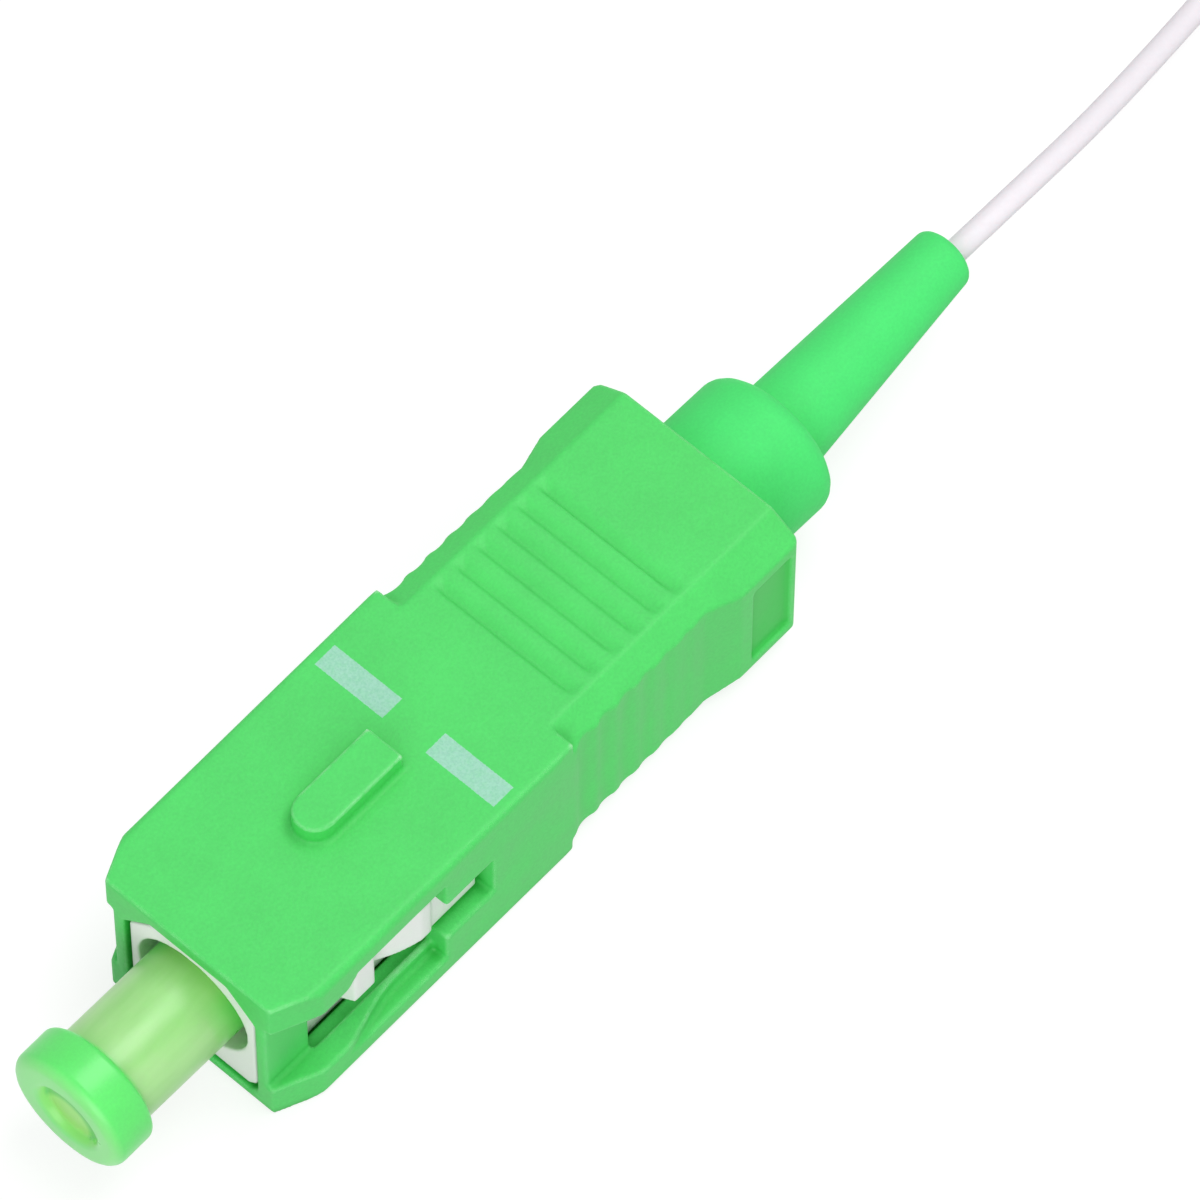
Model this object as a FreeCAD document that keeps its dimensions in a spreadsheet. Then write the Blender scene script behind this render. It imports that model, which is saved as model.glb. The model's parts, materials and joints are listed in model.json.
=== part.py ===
import FreeCAD, Part
import math
import os
import re
import Sketcher

# SC/APC fibre pigtail connector with its dust cap on, in millimetres.
# The origin is the centre of the ferrule's polished face.  +X points out of the mating end along the
# optical axis, +Z to the key side, and the connector lies on the flat side opposite the key.
# Places along the axis are named by their distance behind the ferrule face, so they have x = -distance.

SIZES = [
    # ferrule, fibre and buffered cord
    ("ferrule_diameter", 2.499), ("ferrule_length", 10.5), ("ferrule_face_radius", 0.7),
    ("ferrule_bevel_length", 0.9), ("polish_angle", 8), ("fibre_diameter", 0.125),
    ("fibre_clearance", 0.001), ("cord_diameter", 0.9), ("cord_clearance", 0.05),
    # ferrule flange and spring
    ("flange_diameter", 4.4), ("flange_thickness", 1.6), ("barrel_diameter", 3.3),
    ("barrel_length", 2.0), ("stem_diameter", 1.9), ("stem_length", 3.5), ("flange_notch", 0.6),
    ("flange_notch_count", 4), ("spring_wire", 0.35), ("spring_clearance", 0.1),
    ("spring_pitch", 1.1), ("ferrule_travel", 1.0),
    # inner plug frame
    ("frame_setback", 0.65), ("frame_length", 18.35), ("frame_width", 5.6), ("frame_top", 2.9),
    ("frame_bottom", 3.2), ("frame_corner", 1.27), ("frame_corner_low", 0.35),
    ("frame_bore", 4.9), ("sleeve_bore_depth", 5.95), ("frame_wall", 0.8), ("ferrule_room", 0.2),
    ("chamber_clearance", 0.15), ("tooth_rise", 0.96), ("tooth_height", 2.5),
    ("tooth_front", 4.05), ("tooth_ramp", 0.45), ("tooth_length", 1.45), ("block_height", 2.1),
    ("block_gap", 0.25), ("block_step", 0.32), ("block_rise", 1.12), ("block_ramp", 1.85),
    ("block_crown", 5.5), ("block_flat", 0.5), ("strip_rise", 1.02), ("strip_length", 2.3),
    ("snap_window_length", 1.4), ("snap_window_width", 2.2), ("snap_setback", 0.6),
    # outer grip
    ("grip_setback", 0.5), ("grip_length", 25.3), ("grip_width", 8.95), ("grip_height", 7.4),
    ("grip_edge", 0.35), ("lead_in_depth", 0.8), ("lead_in_length", 1.75),
    ("side_clearance", 0.15), ("level_clearance", 0.1), ("grip_travel", 1.4), ("travel_room", 0.05),
    ("channel_height", 4.1), ("channel_depth", 1.04), ("channel_length", 7.75),
    ("slot_clearance", 0.1), ("slot_room", 0.2), ("window_height", 5.0), ("window_lip", 0.13),
    ("cam_setback", 2.95), ("cam_run", 1.75), ("cam_blend", 1.2), ("cam_rise", 0.17),
    ("cam_radius", 4.5), ("cam_land", 0.25), ("cam_height", 5.2), ("key_width", 1.6),
    ("key_height", 0.8), ("key_setback", 5.46), ("key_length", 4.26), ("rib_setback", 15.4),
    ("rib_pitch", 1.03), ("rib_count", 6), ("rib_depth", 0.18), ("rib_run", 0.62),
    ("rib_margin", 0.125), ("scallop_radius", 0.8), ("scallop_depth", 0.13),
    ("waist_setback", 13.4), ("waist_depth", 0.42), ("waist_draft", 0.1), ("waist_taper", 1.2),
    ("waist_end", 21.0), ("flare_length", 1.4), ("bevel_inset", 0.9), ("bevel_drop", 1.15),
    ("bevel_setback", 14.1), ("rear_corner", 0.3),
    ("recess_length", 1.9), ("recess_height", 4.7), ("recess_depth", 0.2),
    ("recess_margin", 0.4), ("recess_drop", 0.1),
    # stop ring, guide tube and boot
    ("stop_sleeve_length", 2.5), ("stop_clearance", 0.05), ("collar_inset", 0.1),
    ("stop_collar_length", 0.9), ("stop_neck_diameter", 3.2), ("stop_neck_length", 4.7),
    ("neck_groove_depth", 0.2), ("neck_groove_width", 0.7), ("neck_groove_pitch", 1.5),
    ("neck_groove_count", 2), ("snap_clearance", 0.1), ("barb_root", 0.3), ("barb_inset", 0.1),
    ("tube_diameter", 1.9), ("guide_room", 0.15), ("boot_side_clearance", 0.06),
    ("boot_body_length", 9.6), ("boot_gap", 0.1), ("boot_shoulder", 0.45),
    ("taper_start_diameter", 3.5), ("boot_tip_diameter", 2.35), ("boot_taper_length", 9.0),
    ("boot_tip_chamfer", 0.2), ("boot_bore_clearance", 0.02),
    # dust cap
    ("cap_clearance", 0.025), ("cap_wall", 0.7), ("cap_floor_room", 1.0),
    ("cap_tube_stand", 3.65), ("cap_flange_diameter", 4.9), ("cap_flange_thickness", 1.8),
    ("cap_flange_chamfer", 0.25), ("cap_recess_diameter", 2.7), ("cap_recess_depth", 0.35),
    ("cap_end_wall", 0.6),
    # put-away cord
    ("hank_run", 18), ("hank_inner_radius", 2.7), ("hank_width", 2.7), ("hank_thickness", 4.5),
    ("hank_entry", 2.0), ("tie_length", 5.0), ("tie_wall", 0.25), ("tie_clearance", 0.02),
]

# The free cord's route on the table, from the boot's tip to the hank, chosen by hand.
CORD_POINTS = [
    (-38.6, 0.0, 0.0),
    (-42.4, 0.04, -0.08),
    (-46.4, -0.1, -0.62),
    (-50.6, -0.6, -1.55),
    (-54.8, -1.2, -2.5),
    (-58.6, -1.65, -2.9),
    (-62.0, -1.85, -2.98),
]

# How far a cutting outline reaches past the surface that it cuts, and how deep a raised block's
# outline starts inside the piece that it grows from.
PAST = 0.1
ROOT = 0.1

doc = FreeCAD.newDocument("sc_fibre_connector")
sheet = doc.addObject("Spreadsheet::Sheet", "sizes")
for row, (name, number) in enumerate(SIZES, start=1):
    sheet.set(f"A{row}", name)
    sheet.set(f"B{row}", str(number))
    sheet.setAlias(f"B{row}", name)
doc.recompute()


def with_sheet(text):
    """The expression with each size's name pointed at the sheet."""
    return re.sub(r"[a-z]+(?:_[a-z]+)+", lambda found: "sizes." + found.group(0), text)


def worth(text):
    """The number that an expression in the sheet's sizes comes to now."""
    return float(sheet.evalExpression(with_sheet(str(text))))


def bind(item, path, text):
    item.setExpression(path, with_sheet(str(text)))


def new_body(label):
    body = doc.addObject("PartDesign::Body", label)
    body.Label = label
    body.Placement = FreeCAD.Placement()
    return body


def origin_item(body, role):
    return next(item for item in body.Origin.OriginFeatures if item.Role == role)


def centre_of(start, end, radius):
    """The centre of the arc of less than half a turn from start to end, turning left if radius > 0."""
    chord = end - start
    rise = math.sqrt(max(radius ** 2 - chord.Length ** 2 / 4, 0))
    left = FreeCAD.Vector(-chord.y, chord.x, 0).normalize()
    return (start + end) / 2 + left * math.copysign(rise, radius)


def add_loop(sketch, corners):
    """Closes an outline through corners (x, y) or (x, y, radius), where radius bends the next side."""
    places = [FreeCAD.Vector(worth(corner[0]), worth(corner[1]), 0) for corner in corners]
    first = sketch.GeometryCount
    starts, ends = [], []
    for index, corner in enumerate(corners):
        start, end = places[index], places[(index + 1) % len(places)]
        side = first + index
        if len(corner) == 2:
            sketch.addGeometry(Part.LineSegment(start, end))
            starts.append((side, 1))
            ends.append((side, 2))
            continue
        radius = worth(corner[2])
        centre = centre_of(start, end, radius)
        spans = [math.atan2(place.y - centre.y, place.x - centre.x) for place in (start, end)]
        turns_left = radius > 0
        if not turns_left:
            spans.reverse()
        if spans[1] < spans[0]:
            spans[1] += 2 * math.pi
        circle = Part.Circle(centre, FreeCAD.Vector(0, 0, 1), abs(radius))
        sketch.addGeometry(Part.ArcOfCircle(circle, *spans))
        starts.append((side, 1 if turns_left else 2))
        ends.append((side, 2 if turns_left else 1))
        number = sketch.addConstraint(Sketcher.Constraint("Radius", side, abs(radius)))
        bind(sketch, f"Constraints[{number}]", f"abs({corner[2]})")
    for index in range(len(corners)):
        following = starts[(index + 1) % len(corners)]
        sketch.addConstraint(Sketcher.Constraint("Coincident", *ends[index], *following))
    for index, corner in enumerate(corners):
        for kind, text in zip(("DistanceX", "DistanceY"), corner):
            rule = Sketcher.Constraint(kind, -1, 1, *starts[index], worth(text))
            number = sketch.addConstraint(rule)
            bind(sketch, f"Constraints[{number}]", text)


def add_circle(sketch, across, up, radius):
    centre = FreeCAD.Vector(worth(across), worth(up), 0)
    side = sketch.addGeometry(Part.Circle(centre, FreeCAD.Vector(0, 0, 1), worth(radius)))
    rules = (("DistanceX", across), ("DistanceY", up))
    for kind, text in rules:
        number = sketch.addConstraint(Sketcher.Constraint(kind, -1, 1, side, 3, worth(text)))
        bind(sketch, f"Constraints[{number}]", text)
    number = sketch.addConstraint(Sketcher.Constraint("Radius", side, worth(radius)))
    bind(sketch, f"Constraints[{number}]", radius)


def new_sketch(body, name, plane, offset="0"):
    """A sketch on one of the body's own origin planes, moved along the plane's normal by offset."""
    sketch = body.newObject("Sketcher::SketchObject", f"{body.Label}_{name}")
    sketch.AttachmentSupport = (origin_item(body, plane), [""])
    sketch.MapMode = "FlatFace"
    bind(sketch, "AttachmentOffset.Base.z", offset)
    return sketch


def outline(body, name, plane, corners, offset="0"):
    sketch = new_sketch(body, name, plane, offset)
    add_loop(sketch, corners)
    return sketch


def feature(body, kind, sketch, length, both_ways=False, backwards=False):
    """A pad or pocket of the sketch; both_ways puts half of the length on each side of its plane."""
    item = body.newObject(f"PartDesign::{kind}", f"{sketch.Name}_{kind.lower()}")
    item.Profile = sketch
    bind(item, "Length", length)
    item.SideType = "Symmetric" if both_ways else "One side"
    item.Reversed = backwards
    body.Tip = item
    doc.recompute()
    return item


def mirrored(body, item, plane):
    copy = body.newObject("PartDesign::Mirrored", f"{item.Name}_mirrored_{plane[:2].lower()}")
    copy.Originals = [item]
    copy.MirrorPlane = (origin_item(body, plane), [""])
    body.Tip = copy
    doc.recompute()
    return copy


def in_a_row(body, item, count, pitch):
    """Copies of the feature side by side towards the cord end."""
    row = body.newObject("PartDesign::LinearPattern", f"{item.Name}_row")
    row.Originals = [item]
    row.Direction = (origin_item(body, "X_Axis"), [""])
    row.Reversed = True
    row.Mode = "Spacing"
    bind(row, "Offset", pitch)
    bind(row, "Occurrences", count)
    body.Tip = row
    doc.recompute()
    return row


def turned(body, name, corners, kind="Revolution"):
    """The outline (x, radius) turned about the optical axis."""
    sketch = outline(body, name, "XY_Plane", corners)
    item = body.newObject(f"PartDesign::{kind}", f"{sketch.Name}_{kind.lower()}")
    item.Profile = sketch
    item.ReferenceAxis = (origin_item(body, "X_Axis"), [""])
    item.Angle = 360
    body.Tip = item
    doc.recompute()
    return item


def ring_profile(front, back, inner, outer):
    """A plain tube's outline, from two distances behind the face and two radii."""
    return [(f"-({front})", inner), (f"-({front})", outer), (f"-({back})", outer), (f"-({back})", inner)]


# Distances behind the ferrule face that several pieces share.
BORE_FLOOR = "(frame_setback + sleeve_bore_depth)"
FLANGE_FRONT = f"({BORE_FLOOR} + frame_wall)"
BARREL_FRONT = f"({FLANGE_FRONT} + flange_thickness)"
STEM_FRONT = f"({BARREL_FRONT} + barrel_length)"
STEM_END = f"({STEM_FRONT} + stem_length)"
FRAME_END = "(frame_setback + frame_length)"
STOP_FRONT = f"({FRAME_END} - stop_sleeve_length)"
NECK_FRONT = f"({FRAME_END} + stop_collar_length)"
NECK_END = f"({NECK_FRONT} + stop_neck_length)"
BOOT_FRONT = f"({NECK_FRONT} + boot_gap)"
BOOT_SHOULDER = f"({BOOT_FRONT} + boot_body_length)"
BOOT_TIP = f"({BOOT_SHOULDER} + boot_taper_length)"
LEAD_FRONT = f"({STEM_END} + ferrule_travel + guide_room)"
GRIP_END = "(grip_setback + grip_length)"

# Half widths, heights and radii that one piece takes from another.
FERRULE_RADIUS = "(ferrule_diameter / 2)"
CORD_HOLE = "(cord_diameter / 2 + cord_clearance)"
CHAMBER_RADIUS = "(flange_diameter / 2 + chamber_clearance)"
STOP_RADIUS = f"({CHAMBER_RADIUS} - stop_clearance)"
CAVITY_SIDE = "(frame_width / 2 + side_clearance)"
TOOTH_REACH = "(frame_width / 2 + tooth_rise)"
BLOCK_FRONT = "(tooth_front + tooth_length + block_gap)"
BLOCK_CREST = f"({BLOCK_FRONT} + block_ramp)"
BLOCK_END = f"({BLOCK_CREST} + block_flat)"
STRIP_END = f"({BLOCK_END} + strip_length)"


def make_ferrule():
    """Ceramic ferrule, turned with a bevelled nose and polished at an angle across its face."""
    body = new_body("ferrule")
    spare = "tan(polish_angle) * ferrule_diameter / 2"
    turned(body, "turned", [
        (spare, "(fibre_diameter + fibre_clearance) / 2"),
        (spare, "ferrule_face_radius"),
        ("-ferrule_bevel_length", FERRULE_RADIUS),
        ("-ferrule_length", FERRULE_RADIUS),
        ("-ferrule_length", "(fibre_diameter + fibre_clearance) / 2"),
    ])
    polish = outline(body, "polish", "XZ_Plane", [
        (f"-{spare}", FERRULE_RADIUS),
        (spare, f"-{FERRULE_RADIUS}"),
        ("ferrule_diameter", f"-{FERRULE_RADIUS}"),
        ("ferrule_diameter", FERRULE_RADIUS),
    ])
    feature(body, "Pocket", polish, "ferrule_diameter * 2", both_ways=True)
    return body


def make_fibre():
    """Bare glass fibre, bonded in the ferrule's capillary from its face to its back end."""
    body = new_body("fibre")
    section = new_sketch(body, "section", "YZ_Plane")
    add_circle(section, "0", "0", "fibre_diameter / 2")
    feature(body, "Pad", section, "ferrule_length", backwards=True)
    return body


def make_buffer_end():
    """Front end of the buffered cord, bonded in the flange's stem."""
    body = new_body("buffer_end")
    section = new_sketch(body, "section", "YZ_Plane", "-ferrule_length")
    add_circle(section, "0", "0", "cord_diameter / 2")
    feature(body, "Pad", section, f"{STEM_END} - ferrule_length", backwards=True)
    return body


def make_ferrule_flange():
    """Metal flange pressed on the ferrule: a notched collar, a barrel and a stem for the cord."""
    body = new_body("ferrule_flange")
    turned(body, "turned", [
        (f"-{FLANGE_FRONT}", FERRULE_RADIUS),
        (f"-{FLANGE_FRONT}", "flange_diameter / 2"),
        (f"-{BARREL_FRONT}", "flange_diameter / 2"),
        (f"-{BARREL_FRONT}", "barrel_diameter / 2"),
        (f"-{STEM_FRONT}", "barrel_diameter / 2"),
        (f"-{STEM_FRONT}", "stem_diameter / 2"),
        (f"-{STEM_END}", "stem_diameter / 2"),
        (f"-{STEM_END}", CORD_HOLE),
        ("-ferrule_length", CORD_HOLE),
        ("-ferrule_length", FERRULE_RADIUS),
    ])
    notch = outline(body, "notch", "YZ_Plane", [
        ("-flange_notch / 2", "(flange_diameter + barrel_diameter) / 4"),
        ("flange_notch / 2", "(flange_diameter + barrel_diameter) / 4"),
        ("flange_notch / 2", "flange_diameter"),
        ("-flange_notch / 2", "flange_diameter"),
    ], f"-{BARREL_FRONT}")
    cut = feature(body, "Pocket", notch, "flange_thickness", backwards=True)
    ring = body.newObject("PartDesign::PolarPattern", "flange_notches")
    ring.Originals = [cut]
    ring.Axis = (origin_item(body, "X_Axis"), [""])
    ring.Angle = 360
    bind(ring, "Occurrences", "flange_notch_count")
    body.Tip = ring
    return body


def make_coil_spring():
    """Compression spring round the barrel, between the flange's collar and the stop ring."""
    mean_radius = "barrel_diameter / 2 + spring_clearance + spring_wire / 2"
    helix = doc.addObject("Part::Helix", "spring_line")
    bind(helix, "Pitch", "spring_pitch")
    bind(helix, "Height", f"{STOP_FRONT} - {BARREL_FRONT} - spring_wire")
    bind(helix, "Radius", mean_radius)
    wire = doc.addObject("Part::RegularPolygon", "spring_section")
    wire.Polygon = 6
    bind(wire, "Circumradius", "spring_wire / 2")
    bind(wire, "Placement.Base.x", mean_radius)
    wire.Placement.Rotation = FreeCAD.Rotation(FreeCAD.Vector(1, 0, 0), 90)
    spring = doc.addObject("Part::Sweep", "coil_spring")
    spring.Label = "coil_spring"
    spring.Sections = [wire]
    spring.Spine = (helix, [])
    spring.Solid = True
    spring.Frenet = True
    spring.Placement.Rotation = FreeCAD.Rotation(FreeCAD.Vector(0, 1, 0), -90)
    bind(spring, "Placement.Base.x", f"-({BARREL_FRONT} + spring_wire / 2)")
    return spring


def section_corners(half_width, top, bottom, corner, corner_low):
    """A section across the axis whose upper corners are cut off wide and whose lower ones are small."""
    return [
        (f"-({half_width}) + {corner}", top),
        (f"-({half_width})", f"{top} - {corner}"),
        (f"-({half_width})", f"-({bottom}) + {corner_low}"),
        (f"-({half_width}) + {corner_low}", f"-({bottom})"),
        (f"{half_width} - {corner_low}", f"-({bottom})"),
        (half_width, f"-({bottom}) + {corner_low}"),
        (half_width, f"{top} - {corner}"),
        (f"{half_width} - {corner}", top),
    ]


def make_plug_frame():
    """Inner plug frame: bored block with the latch teeth, side blocks and snap windows."""
    body = new_body("plug_frame")
    corners = section_corners("frame_width / 2", "frame_top", "frame_bottom", "frame_corner",
                              "frame_corner_low")
    block = outline(body, "block", "YZ_Plane", corners, "-frame_setback")
    feature(body, "Pad", block, "frame_length", backwards=True)

    inside = f"frame_width / 2 - {ROOT}"
    tooth_back = "-(tooth_front + tooth_length)"
    tooth = outline(body, "tooth", "XY_Plane", [
        ("-tooth_front", inside),
        ("-tooth_front", "frame_width / 2"),
        ("-(tooth_front + tooth_ramp)", TOOTH_REACH),
        (tooth_back, TOOTH_REACH),
        (tooth_back, inside),
    ])
    teeth = feature(body, "Pad", tooth, "tooth_height", both_ways=True)
    mirrored(body, teeth, "XZ_Plane")
    side_block = outline(body, "side_block", "XY_Plane", [
        (f"-{BLOCK_FRONT}", inside),
        (f"-{BLOCK_FRONT}", "frame_width / 2 + block_step", "block_crown"),
        (f"-{BLOCK_CREST}", "frame_width / 2 + block_rise"),
        (f"-{BLOCK_END}", "frame_width / 2 + block_rise"),
        (f"-{BLOCK_END}", "frame_width / 2 + strip_rise"),
        (f"-{STRIP_END}", "frame_width / 2 + strip_rise"),
        (f"-{STRIP_END}", inside),
    ])
    blocks = feature(body, "Pad", side_block, "block_height", both_ways=True)
    mirrored(body, blocks, "XZ_Plane")

    bores = (
        ("sleeve_bore", "frame_bore / 2", "frame_setback", "sleeve_bore_depth"),
        ("ferrule_way", f"{FERRULE_RADIUS} + ferrule_room", BORE_FLOOR, "frame_wall"),
        ("chamber", CHAMBER_RADIUS, FLANGE_FRONT, f"{FRAME_END} - {FLANGE_FRONT}"),
    )
    for name, radius, front, depth in bores:
        bore = new_sketch(body, name, "YZ_Plane", f"-({front})")
        add_circle(bore, "0", "0", radius)
        feature(body, "Pocket", bore, depth)

    window_front = f"-({STOP_FRONT} + snap_setback)"
    window_back = f"-({STOP_FRONT} + snap_setback + snap_window_length)"
    windows = outline(body, "snap_windows", "XY_Plane", [
        (window_front, "-snap_window_width / 2"),
        (window_front, "snap_window_width / 2"),
        (window_back, "snap_window_width / 2"),
        (window_back, "-snap_window_width / 2"),
    ])
    feature(body, "Pocket", windows, "(frame_top + frame_bottom) * 2", both_ways=True)
    return body


def make_grip():
    """Outer push-pull grip that slides on the plug frame."""
    body = new_body("grip")
    add_grip_block(body)
    add_grip_grooves(body)
    add_grip_cavity(body)
    add_grip_channels(body)
    add_key(body)
    return body


def add_grip_block(body):
    """The outer form: lead-ins at the front, a waist for the fingers and a flared, bevelled rear."""
    half, top, edge = "grip_width / 2", "grip_height / 2", "grip_edge"
    block = outline(body, "block", "YZ_Plane", [
        (f"-{half} + {edge}", f"{top}", edge),
        (f"-{half}", f"{top} - {edge}"),
        (f"-{half}", f"-{top} + {edge}", edge),
        (f"-{half} + {edge}", f"-{top}"),
        (f"{half} - {edge}", f"-{top}", edge),
        (half, f"-{top} + {edge}"),
        (half, f"{top} - {edge}", edge),
        (f"{half} - {edge}", top),
    ], "-grip_setback")
    feature(body, "Pad", block, "grip_length", backwards=True)

    lead_in = outline(body, "lead_in", "XY_Plane", [
        (f"-grip_setback + {PAST}", f"{half} - lead_in_depth"),
        ("-grip_setback", f"{half} - lead_in_depth"),
        ("-(grip_setback + lead_in_length)", half),
        ("-(grip_setback + lead_in_length)", f"{half} + {PAST}"),
        (f"-grip_setback + {PAST}", f"{half} + {PAST}"),
    ])
    cut = feature(body, "Pocket", lead_in, "grip_height * 2", both_ways=True)
    mirrored(body, cut, "XZ_Plane")

    waist_side = f"{half} - waist_depth"
    waist = outline(body, "waist", "XY_Plane", [
        ("-(grip_setback + waist_setback)", half),
        ("-(grip_setback + waist_setback + waist_taper)", waist_side),
        ("-(grip_setback + waist_end)", f"{waist_side} - waist_draft"),
        ("-(grip_setback + waist_end + flare_length)", half),
        ("-(grip_setback + waist_end + flare_length)", f"{half} + {PAST}"),
        ("-(grip_setback + waist_setback)", f"{half} + {PAST}"),
    ])
    cut = feature(body, "Pocket", waist, "grip_height * 2", both_ways=True)
    mirrored(body, cut, "XZ_Plane")

    for side in ("", "-"):
        for level in ("", "-"):
            name = "bevel_" + ("left" if side else "right") + ("_low" if level else "_high")
            bevel = outline(body, name, "YZ_Plane", [
                (f"{side}({half} - bevel_inset)", f"{level}{top}"),
                (f"{side}({half} - bevel_inset)", f"{level}({top} + {PAST})"),
                (f"{side}({half} + {PAST})", f"{level}({top} + {PAST})"),
                (f"{side}({half} + {PAST})", f"{level}({top} - bevel_drop)"),
                (f"{side}{half}", f"{level}({top} - bevel_drop)"),
            ], f"-{GRIP_END}")
            feature(body, "Pocket", bevel, "grip_length - bevel_setback", backwards=True)

    corner = outline(body, "rear_corner", "XY_Plane", [
        (f"-{GRIP_END}", f"{half} - rear_corner", "-rear_corner"),
        (f"-{GRIP_END} + rear_corner", half),
        (f"-{GRIP_END} + rear_corner", f"{half} + {PAST}"),
        (f"-{GRIP_END} - {PAST}", f"{half} + {PAST}"),
        (f"-{GRIP_END} - {PAST}", f"{half} - rear_corner"),
    ])
    cut = feature(body, "Pocket", corner, "grip_height * 2", both_ways=True)
    mirrored(body, cut, "XZ_Plane")


def add_grip_grooves(body):
    """Saw-tooth finger grooves across both flats, and scallops down both sides."""
    front = "-(grip_setback + rib_setback)"
    back = "-(grip_setback + rib_setback + rib_run)"
    groove_span = "grip_width - 2 * (bevel_inset + rib_margin)"
    for level, name in (("", "groove_high"), ("-", "groove_low")):
        groove = outline(body, name, "XZ_Plane", [
            (front, f"{level}(grip_height / 2 + {PAST})"),
            (front, f"{level}(grip_height / 2 - rib_depth)"),
            (back, f"{level}(grip_height / 2)"),
            (back, f"{level}(grip_height / 2 + {PAST})"),
        ])
        cut = feature(body, "Pocket", groove, groove_span, both_ways=True)
        in_a_row(body, cut, "rib_count", "rib_pitch")

    for side, name in (("", "scallop_right"), ("-", "scallop_left")):
        scallop = new_sketch(body, name, "XY_Plane")
        level = "grip_width / 2 - waist_depth - scallop_depth + scallop_radius"
        add_circle(scallop, f"{front} + rib_pitch / 2", f"{side}({level})", "scallop_radius")
        cut = feature(body, "Pocket", scallop, "grip_height * 2", both_ways=True)
        in_a_row(body, cut, "rib_count", "rib_pitch")


def add_grip_cavity(body):
    """The way through for the plug frame, and the bare recess in one flank."""
    corners = section_corners(CAVITY_SIDE, "(frame_top + level_clearance)",
                              "(frame_bottom + level_clearance)", "frame_corner",
                              "frame_corner_low")
    cavity = outline(body, "cavity", "YZ_Plane", corners, "-grip_setback")
    feature(body, "Pocket", cavity, "grip_length")

    recess_end = f"{GRIP_END} - recess_margin"
    recess = outline(body, "recess", "XZ_Plane", [
        (f"-({recess_end})", "-(recess_height / 2 + recess_drop)"),
        (f"-({recess_end} - recess_length)", "-(recess_height / 2 + recess_drop)"),
        (f"-({recess_end} - recess_length)", "recess_height / 2 - recess_drop"),
        (f"-({recess_end})", "recess_height / 2 - recess_drop"),
    ], "-grip_width / 2")
    feature(body, "Pocket", recess, "recess_depth", backwards=True)


def add_grip_channels(body):
    """Latch channels in both flanks: windows to the frame, ear pockets with cams, and rear slots."""
    half = "grip_width / 2"
    floor = f"{half} - channel_depth"
    inner = f"{CAVITY_SIDE} - {ROOT}"
    outer = f"{half} + {PAST}"
    channel_front = f"-grip_setback + {PAST}"
    channel_end = "-(grip_setback + channel_length)"
    window_front = "-(tooth_front - grip_travel - travel_room)"
    slot_front = f"{channel_end} + {PAST}"
    slot_end = f"-({STRIP_END} + slot_room)"
    cam_front = "-(grip_setback + cam_setback)"
    cam_land = f"{floor} + window_lip + cam_land"
    cuts = (
        ("channel", "channel_height", [
            (channel_front, floor),
            (channel_end, floor),
            (channel_end, outer),
            (channel_front, outer),
        ]),
        ("window", "window_height", [
            (window_front, inner),
            (channel_end, inner),
            (channel_end, f"{floor} + window_lip"),
            (window_front, f"{floor} + window_lip"),
        ]),
        ("slot", "block_height + 2 * slot_clearance", [
            (slot_front, inner),
            (slot_end, inner),
            (slot_end, outer),
            (slot_front, outer),
        ]),
        ("ear_pocket", "cam_height", [
            (cam_front, half),
            (f"{cam_front} - cam_run", f"{cam_land} + cam_rise", "-cam_radius"),
            (f"{cam_front} - cam_run - cam_blend", cam_land),
            (channel_end, cam_land),
            (channel_end, outer),
            (cam_front, outer),
        ]),
    )
    for name, height, corners in cuts:
        cut = feature(body, "Pocket", outline(body, name, "XY_Plane", corners), height, both_ways=True)
        mirrored(body, cut, "XZ_Plane")


def add_key(body):
    """The orienting key on the upper flat, with a round front end."""
    front, back = "-(grip_setback + key_setback)", "-(grip_setback + key_setback + key_length)"
    half = "key_width / 2"
    key = outline(body, "key", "XY_Plane", [
        (back, f"-{half}"),
        (f"{front} - {half}", f"-{half}", half),
        (front, "0", half),
        (f"{front} - {half}", half),
        (back, half),
    ], f"grip_height / 2 - {ROOT}")
    feature(body, "Pad", key, f"key_height + {ROOT}")


def make_stop_ring():
    """Snap-in ring behind the spring: a sleeve with two barbs, a collar and a grooved neck."""
    body = new_body("stop_ring")
    bore = "tube_diameter / 2 + cord_clearance"
    collar = "frame_width / 2 - collar_inset"
    turned(body, "turned", [
        (f"-{STOP_FRONT}", bore),
        (f"-{STOP_FRONT}", STOP_RADIUS),
        (f"-{FRAME_END}", STOP_RADIUS),
        (f"-{FRAME_END}", collar),
        (f"-{NECK_FRONT}", collar),
        (f"-{NECK_FRONT}", "stop_neck_diameter / 2"),
        (f"-{NECK_END}", "stop_neck_diameter / 2"),
        (f"-{NECK_END}", bore),
    ])
    groove_front = f"({NECK_FRONT} + neck_groove_pitch)"
    groove_back = f"({groove_front} + neck_groove_width)"
    profile = ring_profile(groove_front, groove_back, "stop_neck_diameter / 2 - neck_groove_depth",
                           "stop_neck_diameter")
    groove = turned(body, "groove", profile, "Groove")
    in_a_row(body, groove, "neck_groove_count", "neck_groove_pitch")
    barb_front = f"-({STOP_FRONT} + snap_setback + snap_clearance)"
    barb_back = f"-({STOP_FRONT} + snap_setback + snap_window_length - snap_clearance)"
    for level, name in (("", "barb_high"), ("-", "barb_low")):
        barb = outline(body, name, "XZ_Plane", [
            (barb_front, f"{level}({STOP_RADIUS} - barb_root)"),
            (barb_front, f"{level}{CHAMBER_RADIUS}"),
            (barb_back, f"{level}(frame_top - barb_inset)"),
            (barb_back, f"{level}({STOP_RADIUS} - barb_root)"),
        ])
        feature(body, "Pad", barb, "snap_window_width - 2 * snap_clearance", both_ways=True)
    return body


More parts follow.
